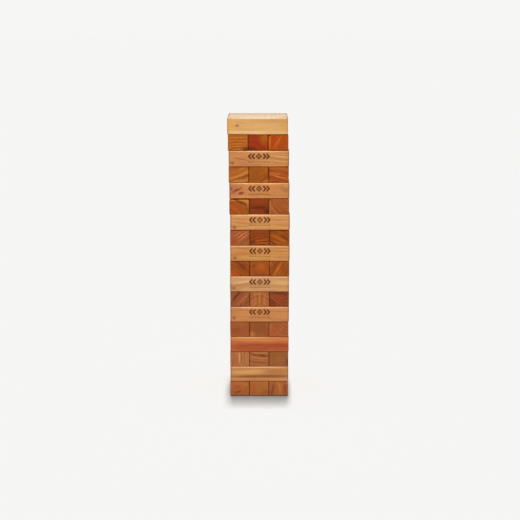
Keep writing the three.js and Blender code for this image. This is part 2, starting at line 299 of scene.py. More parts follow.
b(17, "right", deep=0.8, end=(177, 78, 24), long=(198, 116, 58), pith=(34, -88), ring=24, figure=0.4, paint=[
    (-32, 4, 3.4, 22, 0, 0.7, (208, 110, 66), 0.75), (-18, 2, 7, 22, 0, 0.8, (196, 60, 6), 0.6), (-4, 2, 26, 2.8, 58, 0.7, (208, 106, 52), 0.7), (-8, -20, 20, 2, 54, 0.7, (206, 104, 50), 0.5), (20, 4, 14, 20, 0, 0.8, (186, 82, 34), 0.5), (10, -18, 12, 6, 0, 0.8, (184, 70, 12), 0.5), (0, -27, 34, 2.4, 0, 0.6, (150, 66, 16), 0.6),
    (-36, 28, 5, 4, 0, 0.6, (96, 32, 0), 0.85)])
b(18, "front", long=(217, 167, 104), end=(186, 116, 60), pith=(-150, 20), ring=16, tilt=(0.004, 0.004), grain=0.3, paint=[
    (-100, 5, 14, 15, 0, 0.8, (226, 170, 78), 0.6), (98, 5, 16, 18, 0, 0.8, (216, 164, 76), 0.6), (-75, 3, 6.5, 5.5, 0, 0.8, (190, 124, 78), 0.75), (0, -22, 125, 7, 0, 0.6, (238, 194, 140), 0.65),
    (-10, -12, 80, 3, 0, 0.7, (214, 172, 96), 0.5), (50, 20, 60, 5, 0, 0.7, (206, 152, 92), 0.5), (44, -14, 14, 10, 20, 0.8, (228, 180, 110), 0.5),
    # a painted highlight along the lit top edge, run 300 mm deep so that it also paints the top face paler as a painted
    # reflection
    (0, 31.2, 125, 2, 0, 0.5, (256, 213, 176), 0.95, 300)])

# layer 18's middle and back blocks show only their top faces; their pale, greyish colours are partly the wood's own
# pale tone and partly a painted reflection of the grazing light on the top face
b(18, "middle", long=(230, 198, 162), end=(186, 122, 70), pith=(-50, 90), ring=12, tilt=(0.004, 0.004), grain=0.5)
b(18, "back", long=(214, 180, 146), end=(180, 112, 62), pith=(60, 84), ring=11, tilt=(-0.004, 0.006), grain=0.5)

# The photographed side's knots: x along the block, z up, both from the
# block's middle; r, all mm. The limb runs in from the front side.
KNOTS = {
    "layer_18_front": [(-75, 3, 2.6, 0.35)],
    "layer_16_front": [(-100, -15, 3.2, 0.5)],
    "layer_14_front": [(-86, 4, 3.6, 0.5), (-70, -10, 3.8, 0.75)],
    "layer_12_front": [(-97, -19, 3.4, 0.55)],
    "layer_10_front": [(-95, -18, 3.6, 0.55)],
    "layer_08_front": [(-98, -14, 3.4, 0.5)],
    "layer_06_front": [(-98, -14, 3.2, 0.45)],
}
MARKED_FRONT = (16, 14, 12, 10, 8, 6)


# --------------------------------------------------------------------------
# Ornament pressed into one narrow side of each block: a lozenge between
# chevrons, over a row of dots. Signed distance in mm, negative inside.
# --------------------------------------------------------------------------
def seg(x, z, ax, az, bx, bz, w):
    px, pz = x - ax, z - az
    dx, dz = bx - ax, bz - az
    t = np.clip((px * dx + pz * dz) / (dx * dx + dz * dz), 0, 1)
    return np.hypot(px - dx * t, pz - dz * t) - w


def ornament(x, z):
    zc = 8.6
    # lozenge ring with a small solid lozenge inside
    d = (np.abs(x) + np.abs(z - zc)) / math.sqrt(2)
    out = np.maximum(d - 8.4, 4.6 - d)
    out = np.minimum(out, d - 2.4)
    for side in (-1, 1):
        for tip in (37.8, 25.2):
            near = side * (tip - 7.6)
            out = np.minimum(out, seg(x, z, near, zc + 8.2, side * tip, zc, 2.9))
            out = np.minimum(out, seg(x, z, near, zc - 8.2, side * tip, zc, 2.9))
    # dots
    k = np.clip(np.round(x / 5.4), -7, 7)
    out = np.minimum(out, np.hypot(x - 5.4 * k, z + 12.2) - 1.5)
    return out


# --------------------------------------------------------------------------
# Block mesh
# --------------------------------------------------------------------------
def axis_values(h, r, cell, odd):
    """Coordinates along one axis of a rounded block, in mm: arc steps, a thin supporting cell, even cells, and back."""
    arc = [r * math.tan(math.radians(a)) for a in (45, 30, 15)]
    inner = h - r
    thin = 0.7
    n = max(3, round(2 * (inner - thin) / cell))
    if odd and n % 2 == 0:
        n += 1
    even = np.linspace(-(inner - thin), inner - thin, n + 1)
    neg = [-(inner + a) for a in arc] + [-inner]
    return np.array(neg + list(even) + [-v for v in reversed(neg)]), n


def smooth_noise(rng, pts, scale, octaves=1):
    """A cheap smooth random field over points in mm: a sum of sines with random directions."""
    total = np.zeros(len(pts))
    for o in range(octaves):
        for _ in range(7):
            k = rng.normal(size=3)
            k = k / np.linalg.norm(k) * (2 * math.pi / (scale / (2**o)))
            total += np.sin(pts @ k + rng.uniform(0, 2 * math.pi)) / (2**o)
    return total / 7


def block_mesh(name, length, width, height, rng, mark_side, mark_at):
    r = rng.uniform(2.5, 3.2)
    h = np.array([length, width, height]) / 2
    X, nx = axis_values(h[0], r, 4.0, True)
    Y, _ = axis_values(h[1], r, 4.0, False)
    Z, nz = axis_values(h[2], r, 3.9, False)
    A = (X, Y, Z)
    N = [len(v) for v in A]
    quads = []
    for ax in range(3):
        u, v = [(1, 2), (2, 0), (0, 1)][ax]
        iu, iv = np.meshgrid(np.arange(N[u] - 1), np.arange(N[v] - 1), indexing="ij")
        iu, iv = iu.ravel(), iv.ravel()
        for side in (0, 1):
            corner = []
            for du, dv in ((0, 0), (1, 0), (1, 1), (0, 1)):
                idx = np.zeros((len(iu), 3), int)
                idx[:, ax] = side * (N[ax] - 1)
                idx[:, u] = iu + du
                idx[:, v] = iv + dv
                corner.append(idx[:, 0] * N[1] * N[2] + idx[:, 1] * N[2] + idx[:, 2])
            q = np.stack(corner if side else corner[::-1], 1)
            quads.append(q)
    # the marked side: leave out the cells under the ornament
    patch = None
    if mark_side:
        first = 4  # index of the first even cell's lower line
        i0 = first + (nx - 21) // 2
        i1 = i0 + 21
        k0 = first + 1
        k1 = first + nz - 1
        patch = (i0, i1, k0, k1)
        q = quads[2 if mark_side < 0 else 3]
        ci = np.min(q // (N[1] * N[2]), 1)
        ck = np.min(q % N[2], 1)
        inside = (ci >= i0) & (ci < i1) & (ck >= k0) & (ck < k1)
        ring = (ci >= i0 - 1) & (ci <= i1) & (ck >= k0 - 1) & (ck <= k1) & ~inside
        corner_cell = ((ci == i0 - 1) | (ci == i1)) & ((ck == k0 - 1) | (ck == k1))
        ring &= ~corner_cell
        ring_q = q[ring]
        quads[2 if mark_side < 0 else 3] = q[~inside & ~ring]
    allq = np.concatenate(quads)
    ids = np.unique(allq)
    if patch:
        ids = np.unique(np.concatenate([ids, ring_q.ravel()]))
    lookup = {int(v): n for n, v in enumerate(ids)}
    remap = np.zeros(N[0] * N[1] * N[2], int)
    remap[ids] = np.arange(len(ids))
    c = np.stack([X[ids // (N[1] * N[2])], Y[(ids // N[2]) % N[1]], Z[ids % N[2]]], 1)
    faces = [tuple(f) for f in remap[allq]]
    if patch:
        m = 5
        i0, i1, k0, k1 = patch
        jy = 0 if mark_side < 0 else N[1] - 1
        fine = {}
        extra = []

        def vid(a, b):
            """Vertex at fine lattice place (a, b) of the marked side."""
            if a % m == 0 and b % m == 0:
                key = (a // m) * N[1] * N[2] + jy * N[2] + b // m
                if key in lookup:
                    return lookup[key]
            if (a, b) not in fine:
                ia, fa = divmod(a, m)
                ib, fb = divmod(b, m)
                x = X[ia] if fa == 0 else X[ia] + (X[ia + 1] - X[ia]) * fa / m
                z = Z[ib] if fb == 0 else Z[ib] + (Z[ib + 1] - Z[ib]) * fb / m
                fine[(a, b)] = len(ids) + len(extra)
                extra.append((x, Y[jy], z))
            return fine[(a, b)]

        flip = mark_side > 0
        for a in range(i0 * m, i1 * m):
            for bb in range(k0 * m, k1 * m):
                f = [vid(a, bb), vid(a + 1, bb), vid(a + 1, bb + 1), vid(a, bb + 1)]
                faces.append(tuple(f[::-1]) if flip else tuple(f))
        # cells next to the ornament's grid take its edge points
        for i in range(i0 - 1, i1 + 1):
            for k in range(k0 - 1, k1 + 1):
                inside = i0 <= i < i1 and k0 <= k < k1
                corner_cell = (i in (i0 - 1, i1)) and (k in (k0 - 1, k1))
                if inside or corner_cell:
                    continue
                loop = []
                sides = [
                    [(i * m + s, k * m) for s in range(m)],
                    [((i + 1) * m, k * m + s) for s in range(m)],
                    [((i + 1) * m - s, (k + 1) * m) for s in range(m)],
                    [(i * m, (k + 1) * m - s) for s in range(m)],
                ]
                shared = [k == k1, i == i0 - 1, k == k0 - 1, i == i1]
                for s, pts in enumerate(sides):
                    for t, (a, bb) in enumerate(pts):
                        if t == 0 or shared[s]:
                            loop.append(vid(a, bb))
                faces.append(tuple(loop[::-1]) if flip else tuple(loop))
        c = np.concatenate([c, np.array(extra)])
    inner = h - r
    base = np.clip(c, -inner, inner)
    off = c - base
    normal = off / np.linalg.norm(off, axis=1)[:, None]
    p = base + normal * r
    blk = p.copy()
    # wear, all inwards: slight planing waves, softened edges, knocks
    top2 = np.sort(np.abs(normal), axis=1)
    edge = np.clip((1 - top2[:, 2]) / (1 - math.sqrt(0.5)), 0, 1)
    depth = 0.06 * (1 + smooth_noise(rng, p, 70, 2))
    depth += edge * 0.28 * np.clip(0.45 + smooth_noise(rng, p, 46, 2), 0, None)
    for _ in range(rng.integers(5, 9)):
        ax = rng.integers(0, 3)
        at = rng.uniform(-1, 1, 3) * (h - 2)
        for o in range(3):
            if o != ax:
                at[o] = math.copysign(h[o] - r * 0.3, at[o])
        size = rng.uniform(2.5, 6.0)
        depth += rng.uniform(0.25, 0.9) * np.exp(
            -(((p - at) ** 2).sum(1)) / (2 * size * size)
        )
    for _ in range(rng.integers(2, 5)):  # shallow dents on the sides
        ax = rng.integers(1, 3)
        at = rng.uniform(-0.85, 0.85, 3) * h
        at[ax] = math.copysign(h[ax], at[ax])
        size = rng.uniform(3.5, 7.0)
        depth += rng.uniform(0.12, 0.35) * np.exp(
            -(((p - at) ** 2).sum(1)) / (2 * size * size)
        )
    burn = np.zeros(len(p))
    if mark_side:
        on = (np.abs(normal[:, 1] - mark_side) < 1e-6) & (np.arange(len(p)) >= 0)
        sx = -mark_side  # the ornament reads the right way round from outside
        mx, mz = mark_at
        x = (p[:, 0] - mx) * sx
        z = p[:, 2] - mz
        sd = ornament(x, z)
        e = 0.05
        gx = (ornament(x + e, z) - ornament(x - e, z)) / (2 * e)
        gz = (ornament(x, z + e) - ornament(x, z - e)) / (2 * e)
        g = np.maximum(np.hypot(gx, gz), 1e-6)
        inside_patch = (
            on
            & (p[:, 0] > X[patch[0]] + 0.5)
            & (p[:, 0] < X[patch[1]] - 0.5)
            & (p[:, 2] > Z[patch[2]] + 0.5)
            & (p[:, 2] < Z[patch[3]] - 0.5)
        )
        near = inside_patch & (np.abs(sd) < 0.36)
        p[near, 0] -= (sd * gx / g)[near] * sx
        p[near, 2] -= (sd * gz / g)[near]
        sd2 = ornament((p[:, 0] - mx) * sx, p[:, 2] - mz)
        sunk = np.clip(-sd2 / 0.55, 0, 1)
        sunk = sunk * sunk * (3 - 2 * sunk)
        uneven = 0.8 + 0.35 * smooth_noise(rng, p, 30)
        depth = depth + np.where(inside_patch, sunk * 0.55 * uneven, 0)
        burn = np.where(
            inside_patch,
            np.clip(0.5 - sd2 / 0.5, 0, 1) * 0.86
            + 0.14 * np.exp(-np.maximum(sd2, 0) / 1.6),
            0,
        )
        burn = np.where(inside_patch, burn, 0)
    p = p - normal * depth[:, None]
    me = bpy.data.meshes.new(name)
    me.from_pydata((p * MM).tolist(), [], faces)
    me.update()
    for poly in me.polygons:
        poly.use_smooth = True
    a = me.attributes.new("blk", "FLOAT_VECTOR", "POINT")
    a.data.foreach_set("vector", blk.astype(np.float32).ravel())
    a = me.attributes.new("msk", "FLOAT_VECTOR", "POINT")
    endness = normal[:, 0] ** 2
    # the third value is the edge mask, signed by whether the edge faces down; the shader uses it for a painted
    # highlight on upper edges and painted shade on lower ones
    side = np.where(normal[:, 2] < -0.05, -1.0, 1.0)
    a.data.foreach_set(
        "vector", np.stack([burn, endness, side * edge], 1).astype(np.float32).ravel()
    )
    return me


# --------------------------------------------------------------------------
# Wood
# --------------------------------------------------------------------------
class Tree:
    def __init__(self, tree):
        self.nt = tree
        self.nt.nodes.clear()

    def node(self, kind, **props):
        n = self.nt.nodes.new(kind)
        for k, v in props.items():
            setattr(n, k, v)
        return n

    def put(self, sock, v):
        if isinstance(v, bpy.types.NodeSocket):
            self.nt.links.new(v, sock)
        elif isinstance(v, (tuple, list)):
            sock.default_value = (
                (*v, 1.0) if len(v) == 3 and sock.type == "RGBA" else tuple(v)
            )
        else:
            sock.default_value = v

    def m(self, op, a, b=None, c=None, clamp=False):
        n = self.node("ShaderNodeMath", operation=op, use_clamp=clamp)
        self.put(n.inputs[0], a)
        if b is not None:
            self.put(n.inputs[1], b)
        if c is not None:
            self.put(n.inputs[2], c)
        return n.outputs[0]

    def vm(self, op, a, b=None, c=None, out=0):
        n = self.node("ShaderNodeVectorMath", operation=op)
        self.put(n.inputs[0], a)
        if b is not None:
            if op == "SCALE":
                self.put(n.inputs["Scale"], b)
            else:
                self.put(n.inputs[1], b)
        if c is not None:
            self.put(n.inputs[2], c)
        return n.outputs[out]

    def sep(self, v):
        n = self.node("ShaderNodeSeparateXYZ")
        self.put(n.inputs[0], v)
        return n.outputs

    def comb(self, x, y, z):
        n = self.node("ShaderNodeCombineXYZ")
        for i, v in enumerate((x, y, z)):
            self.put(n.inputs[i], v)
        return n.outputs[0]

    def noise(self, vec, scale=1.0, detail=2.0, rough=0.5, colour=False, dims="3D"):
        n = self.node("ShaderNodeTexNoise", noise_dimensions=dims)
        if dims == "1D":
            self.put(n.inputs["W"], vec)
        else:
            self.put(n.inputs["Vector"], vec)
        n.inputs["Scale"].default_value = scale
        n.inputs["Detail"].default_value = detail
        n.inputs["Roughness"].default_value = rough
        return n.outputs["Color" if colour else "Fac"]

    def step(self, v, lo, hi):
        """Smooth step from 0 at lo to 1 at hi; hi may be below lo."""
        n = self.node("ShaderNodeMapRange", interpolation_type="SMOOTHSTEP")
        if lo <= hi:
            a, bb, c, d = lo, hi, 0.0, 1.0
        else:
            a, bb, c, d = hi, lo, 1.0, 0.0
        self.put(n.inputs["Value"], v)
        n.inputs["From Min"].default_value = a
        n.inputs["From Max"].default_value = bb
        n.inputs["To Min"].default_value = c
        n.inputs["To Max"].default_value = d
        return n.outputs["Result"]

    def mix(self, fac, a, b, blend="MIX"):
        n = self.node("ShaderNodeMix", data_type="RGBA", blend_type=blend)
        n.clamp_factor = True
        self.put(n.inputs[0], fac)
        self.put(n.inputs[6], a)
        self.put(n.inputs[7], b)
        return n.outputs[2]

    def mixf(self, fac, a, b):
        n = self.node("ShaderNodeMix", data_type="FLOAT")
        self.put(n.inputs[0], fac)
        self.put(n.inputs[2], a)
        self.put(n.inputs[3], b)
        return n.outputs[0]


def scaled(c, k):
    return tuple(min(1.0, max(0.0, v * f)) for v, f in zip(c, k))


def lightness(c):
    return 0.3 * c[0] + 0.59 * c[1] + 0.11 * c[2]


SOCKETS = {"f": "NodeSocketFloat", "v": "NodeSocketVector", "c": "NodeSocketColor"}


def group(name, takes, gives):
    """A node group and its Tree; takes and gives are "name:kind" with kind f, v or c."""
    g = bpy.data.node_groups.new(name, "ShaderNodeTree")
    for text, way in [(q, "INPUT") for q in takes] + [(q, "OUTPUT") for q in gives]:
        label, kind = text.split(":")
        g.interface.new_socket(label, in_out=way, socket_type=SOCKETS[kind])
    t = Tree(g)
    i = t.node("NodeGroupInput")
    o = t.node("NodeGroupOutput")
    return t, i.outputs, o.inputs


def seasoned():
    """Block coordinates in mm, the same shifted to a place of its own in the noise, and the front face's plane with a little wander."""
    t, i, o = group(
        "grain_place", ["seed:v", "depth:f", "half:f", "ends:f"], ["P:v", "S:v", "face:v"]
    )
    P = t.node("ShaderNodeAttribute", attribute_name="blk").outputs["Vector"]
    x, y, z = t.sep(P)
    S = t.vm("ADD", P, i["seed"])
    across = t.comb(t.m("MULTIPLY", y, -1.0), z, t.m("MULTIPLY", t.m("ADD", x, i["half"]), 0.4))
    endg = t.sep(t.node("ShaderNodeAttribute", attribute_name="msk").outputs["Vector"])[1]
    inward = t.m("MULTIPLY", t.m("ADD", y, i["depth"]), 2.0)
    along = t.comb(x, z, t.m("ADD", inward, t.m("MULTIPLY", endg, 24.0)))
    n = t.node("ShaderNodeMix", data_type="VECTOR")
    t.put(n.inputs[0], i["ends"])
    t.put(n.inputs[4], along)
    t.put(n.inputs[5], across)
    shake = t.noise(t.vm("MULTIPLY", S, (0.03, 0.07, 0.07)), 1.0, 2.0, 0.6, colour=True)
    face = t.vm("ADD", n.outputs[1], t.vm("SCALE", t.vm("SUBTRACT", shake, (0.5, 0.5, 0.5)), 5.0))
    t.put(o["P"], P)
    t.put(o["S"], S)
    t.put(o["face"], face)
    return t.nt


def stain_and_highlight():
    """One soft oval of another tone, laid over the ones before it: a stain in the wood, and along the lit top edges of
    the long blocks a painted highlight.
    """
    t, i, o = group(
        "stain_and_highlight",
        ["face:v", "C:c", "A:f", "at:v", "turn:v", "radii:v", "lo:f", "hi:f", "amount:f", "tone:c"],
        ["C:c", "A:f"],
    )
    mp = t.node("ShaderNodeMapping", vector_type="TEXTURE")
    t.put(mp.inputs["Vector"], i["face"])
    t.put(mp.inputs["Location"], i["at"])
    t.put(mp.inputs["Rotation"], i["turn"])
    t.put(mp.inputs["Scale"], i["radii"])
    d = t.vm("LENGTH", mp.outputs[0], out=1)
    n = t.node("ShaderNodeMapRange", interpolation_type="SMOOTHSTEP")
    t.put(n.inputs["Value"], d)
    t.put(n.inputs["From Min"], i["lo"])
    t.put(n.inputs["From Max"], i["hi"])
    n.inputs["To Min"].default_value = 1.0
    n.inputs["To Max"].default_value = 0.0
    f = t.m("MULTIPLY", n.outputs["Result"], i["amount"])
    t.put(o["C"], t.mix(f, i["C"], i["tone"]))
    t.put(o["A"], t.mixf(f, i["A"], 1.0))
    return t.nt


def limb():
    """A knot: a limb running out to the side it shows on."""
    t, i, o = group(
        "limb",
        ["P:v", "S:v", "foot:v", "axis:v", "r:f", "strength:f", "push:f", "K:f", "rim:f", "rings:f"],
        ["push:f", "K:f", "rim:f", "rings:f"],
    )
    rel = t.vm("SUBTRACT", i["P"], i["foot"])
    d = t.vm("LENGTH", t.vm("CROSS_PRODUCT", rel, i["axis"]), out=1)
    wob = t.noise(t.vm("MULTIPLY", i["S"], (0.16, 0.16, 0.16)), 1.0, 2.0, 0.5)
    d = t.m("MULTIPLY", d, t.m("ADD", 0.7, t.m("MULTIPLY", wob, 0.6)))
    e = t.m("DIVIDE", d, i["r"])
    rim = t.m("MULTIPLY", t.step(e, 0.7, 0.95), t.step(e, 1.5, 1.0))
    f = t.m("MULTIPLY", t.step(e, 1.3, 0.8), i["strength"])
    push = t.m("MULTIPLY", t.m("MULTIPLY", t.step(e, 4.0, 0.0), i["r"]), 1.2)
    t.put(o["push"], t.m("ADD", i["push"], push))
    t.put(o["K"], t.m("MAXIMUM", i["K"], f))
    t.put(o["rim"], t.m("MAXIMUM", i["rim"], t.m("MULTIPLY", rim, i["strength"])))
    t.put(o["rings"], t.m("MAXIMUM", i["rings"], t.m("SINE", t.m("MULTIPLY", d, 2 * math.pi / 1.5))))
    return t.nt


def softwood():
    """Solid softwood: growth rings round a pith line, stains, fibre, pores, knots, darker sawn ends, the burnt ornament."""
    t, i, o = group(
        "softwood",
        [
            "P:v", "S:v", "pith:v", "slope:v", "ring:f", "fine_ring:f", "half:f", "s0:f", "s1:f", "s2:f",
            "long_a:c", "long_b:c", "end_a:c", "end_b:c", "heart:f", "heart_on:f", "figure:f", "grain:f",
            "C:c", "A:f", "push:f", "K:f", "rim:f", "rings:f", "knot_a:c", "knot_b:c", "knot_rim:c",
        ],
        ["Colour:c", "Rough:f", "Height:f"],
    )
    P, S = i["P"], i["S"]
    mk = t.node("ShaderNodeAttribute", attribute_name="msk").outputs["Vector"]
    burn, endg, edge0 = t.sep(mk)
    edge = t.m("ABSOLUTE", edge0)
    x, y, z = t.sep(P)
    # slow wander of the grain
    low = t.noise(t.vm("MULTIPLY", S, (0.0065, 0.018, 0.018)), 1.0, 1.0, 0.5, colour=True)
    fine = t.noise(t.vm("MULTIPLY", S, (0.02, 0.09, 0.09)), 1.0, 2.0, 0.55)
    fine0 = t.m("SUBTRACT", fine, 0.5)
    q = t.vm("SUBTRACT", t.vm("SUBTRACT", P, i["pith"]), t.vm("SCALE", i["slope"], x))
    q = t.vm("ADD", q, t.vm("SCALE", t.vm("SUBTRACT", low, (0.5, 0.5, 0.5)), 22.0))
    q = t.vm("MULTIPLY", q, (0.0, 1.0, 1.0))
    r = t.vm("LENGTH", q, out=1)
    r = t.m("ADD", r, t.m("MULTIPLY", fine0, 5.5))
    r = t.m("ADD", r, i["push"])
    # broad rings of uneven width, with finer ones between them
    rr = t.m("DIVIDE", r, i["ring"])
    wn = t.noise(t.m("ADD", t.m("MULTIPLY", rr, 0.36), i["s0"]), 1.0, 1.0, 0.5, dims="1D")
    rho = t.m("ADD", rr, t.m("MULTIPLY", wn, 1.7))
    f = t.m("FRACT", rho)
    late = t.m("MULTIPLY", t.step(f, 0.08, 0.80), t.step(f, 1.0, 0.80))
    white = t.node("ShaderNodeTexWhiteNoise", noise_dimensions="1D")
    t.put(white.inputs["W"], t.m("ADD", t.m("FLOOR", rho), i["s1"]))
    late = t.m("MULTIPLY", late, t.m("ADD", 0.30, t.m("MULTIPLY", white.outputs["Value"], 0.8)))
    rho2 = t.m("ADD", t.m("DIVIDE", r, i["fine_ring"]), t.m("MULTIPLY", wn, 5.0))
    f2 = t.m("FRACT", rho2)
    late2 = t.m("MULTIPLY", t.step(f2, 0.3, 0.92), t.step(f2, 1.0, 0.88))
    white2 = t.node("ShaderNodeTexWhiteNoise", noise_dimensions="1D")
    t.put(white2.inputs["W"], t.m("ADD", t.m("FLOOR", rho2), i["s2"]))
    late2 = t.m("MULTIPLY", late2, t.m("ADD", 0.08, t.m("MULTIPLY", white2.outputs["Value"], 0.42)))
    late = t.m("ADD", t.m("MULTIPLY", late, 0.72), late2, clamp=True)
    # streaks along the grain
    band = t.noise(t.vm("MULTIPLY", S, (0.006, 0.1, 0.1)), 1.0, 2.0, 0.6)
    streak = t.noise(t.vm("MULTIPLY", S, (0.02, 0.75, 0.75)), 1.0, 3.0, 0.6)
    fibre = t.noise(t.vm("MULTIPLY", S, (0.12, 4.2, 4.2)), 1.0, 2.0, 0.6)
    patch = t.noise(t.vm("MULTIPLY", S, (0.012, 0.04, 0.04)), 1.0, 1.0, 0.5)

    c_long = t.mix(t.m("MULTIPLY", late, i["grain"]), i["long_a"], i["long_b"])
    c_end = t.mix(t.m("MULTIPLY", late, i["figure"]), i["end_a"], i["end_b"])
    hf = t.step(t.m("SUBTRACT", t.m("ADD", r, t.m("MULTIPLY", fine0, 14.0)), i["heart"]), 5.0, -5.0)
    hf = t.m("MULTIPLY", hf, i["heart_on"])
    c_long = t.mix(hf, c_long, t.mix(1.0, c_long, (0.93, 0.66, 0.50), "MULTIPLY"))
    c_end = t.mix(hf, c_end, t.mix(1.0, c_end, (1.02, 0.72, 0.55), "MULTIPLY"))
    # the finish soaks deeper into the sawn ends and their rounded edges
    soak = t.m("SUBTRACT", i["half"], t.m("ABSOLUTE", x))
    soak = t.m("SUBTRACT", soak, t.m("MULTIPLY", fine0, 5.0))
    end_mix = t.m("MAXIMUM", t.step(endg, 0.03, 0.25), t.m("MULTIPLY", t.step(soak, 7.5, 3.0), 0.6))
    col = t.mix(end_mix, c_long, c_end)
    # this block's own stains
    keep = t.m("ADD", 0.92, t.m("MULTIPLY", t.m("SUBTRACT", 0.5, late), 0.3), clamp=True)
    cover = t.m("MULTIPLY", i["A"], keep)
    n = t.node("ShaderNodeMix", data_type="RGBA", blend_type="DIVIDE")
    n.inputs[0].default_value = 1.0
    t.put(n.inputs[6], i["C"])
    a = t.m("MAXIMUM", i["A"], 0.001)
    t.put(n.inputs[7], t.comb(a, a, a))
    col = t.mix(cover, col, n.outputs[2])
    # streaks, fibre, patches as multipliers
    k = t.m("ADD", 0.90, t.m("MULTIPLY", band, 0.20))
    s1 = t.m("ADD", 1.0, t.m("MULTIPLY", t.m("SUBTRACT", streak, 0.5), t.mixf(endg, 0.34, 0.22)))
    s2 = t.m("ADD", 1.0, t.m("MULTIPLY", t.m("SUBTRACT", fibre, 0.5), t.mixf(endg, 0.26, 0.40)))
    s3 = t.m("ADD", 0.90, t.m("MULTIPLY", patch, 0.20))
    k = t.m("MULTIPLY", t.m("MULTIPLY", k, s1), t.m("MULTIPLY", s2, s3))
    col = t.mix(1.0, col, t.comb(k, t.m("POWER", k, 1.3), t.m("POWER", k, 1.6)), "MULTIPLY")
    # pores: short dark dashes along the grain
    pore = t.node("ShaderNodeTexVoronoi", feature="F1")
    t.put(pore.inputs["Vector"], t.vm("MULTIPLY", S, (0.07, 0.55, 0.55)))
    pore.inputs["Scale"].default_value = 1.0
    pore.inputs["Randomness"].default_value = 1.0
    dash = t.m("MULTIPLY", t.step(pore.outputs["Distance"], 0.17, 0.07), t.mixf(endg, 0.42, 0.3))
    col = t.mix(dash, col, t.mix(1.0, col, (0.62, 0.48, 0.38), "MULTIPLY"))
    # knots
    kc = t.mix(t.m("ADD", 0.5, t.m("MULTIPLY", i["rings"], 0.5)), i["knot_a"], i["knot_b"])
    col = t.mix(i["K"], col, kc)
    col = t.mix(t.m("MULTIPLY", i["rim"], 0.7), col, i["knot_rim"])
    # rays in the end grain
    qx, qy, qz = t.sep(q)
    ang = t.m("ARCTAN2", qz, qy)
    ray = t.noise(t.comb(t.m("MULTIPLY", ang, 26.0), t.m("MULTIPLY", r, 0.02), i["s2"]), 1.0, 2.0, 0.6)
    rays = t.m("MULTIPLY", t.step(ray, 0.52, 0.72), t.m("MULTIPLY", endg, 0.20))
    col = t.mix(rays, col, t.mix(1.0, col, (0.66, 0.56, 0.5), "MULTIPLY"))
    # rounded edges: dark with finish at the ends; along the sides the upward-facing edges are paler, partly rubbed wear
    # and partly a painted highlight where the top light catches them
    rounded_edge = t.step(edge, 0.2, 0.85)
    at_end = t.step(soak, 6.0, 3.0)
    dark = t.m("MULTIPLY", t.m("MULTIPLY", rounded_edge, at_end), 0.8)
    col = t.mix(dark, col, t.mix(1.0, col, (0.40, 0.27, 0.18), "MULTIPLY"))
    rub_and_highlight = t.m("MULTIPLY", t.m("MULTIPLY", rounded_edge, t.m("SUBTRACT", 1.0, at_end)), t.m("ADD", 0.3, t.m("MULTIPLY", patch, 0.7)))
    # upward-facing edges only: this is the painted highlight part
    rub_and_highlight = t.m("MULTIPLY", rub_and_highlight, t.step(edge0, -0.2, 0.1))
    col = t.mix(rub_and_highlight, col, t.mix(1.0, col, (1.34, 1.46, 1.6), "MULTIPLY"))
    # painted shade on the downward-facing rounded edges, in the joints between layers
    painted_shade_under = t.m("MULTIPLY", t.step(edge0, -0.12, -0.6), 0.85)
    col = t.mix(painted_shade_under, col, t.mix(1.0, col, (0.38, 0.24, 0.14), "MULTIPLY"))
    # the burnt ornament
    char = t.m("MULTIPLY", burn, t.m("ADD", 0.82, t.m("MULTIPLY", streak, 0.34)), clamp=True)
    col = t.mix(char, col, lin((92, 40, 12)))

    rough = t.m("ADD", 0.47, t.m("MULTIPLY", streak, 0.14))
    rough = t.m("SUBTRACT", rough, t.m("MULTIPLY", late, 0.06))
    rough = t.m("ADD", rough, t.m("MULTIPLY", endg, 0.13))
    rough = t.m("ADD", rough, t.m("MULTIPLY", burn, 0.2), clamp=True)
    hgt = t.m("ADD", t.m("MULTIPLY", late, 0.6), t.m("MULTIPLY", fibre, 0.5))
    hgt = t.m("SUBTRACT", hgt, t.m("MULTIPLY", dash, 0.8))
    t.put(o["Colour"], col)
    t.put(o["Rough"], rough)
    t.put(o["Height"], hgt)
    return t.nt


PLACE, STAIN_AND_HIGHLIGHT, LIMB, SOFTWOOD = seasoned(), stain_and_highlight(), limb(), softwood()


# The same balance for the faces that don't look forward.
GAIN_LONG = (0.78, 0.75, 0.66)
GAIN_END = (0.74, 0.66, 0.50)


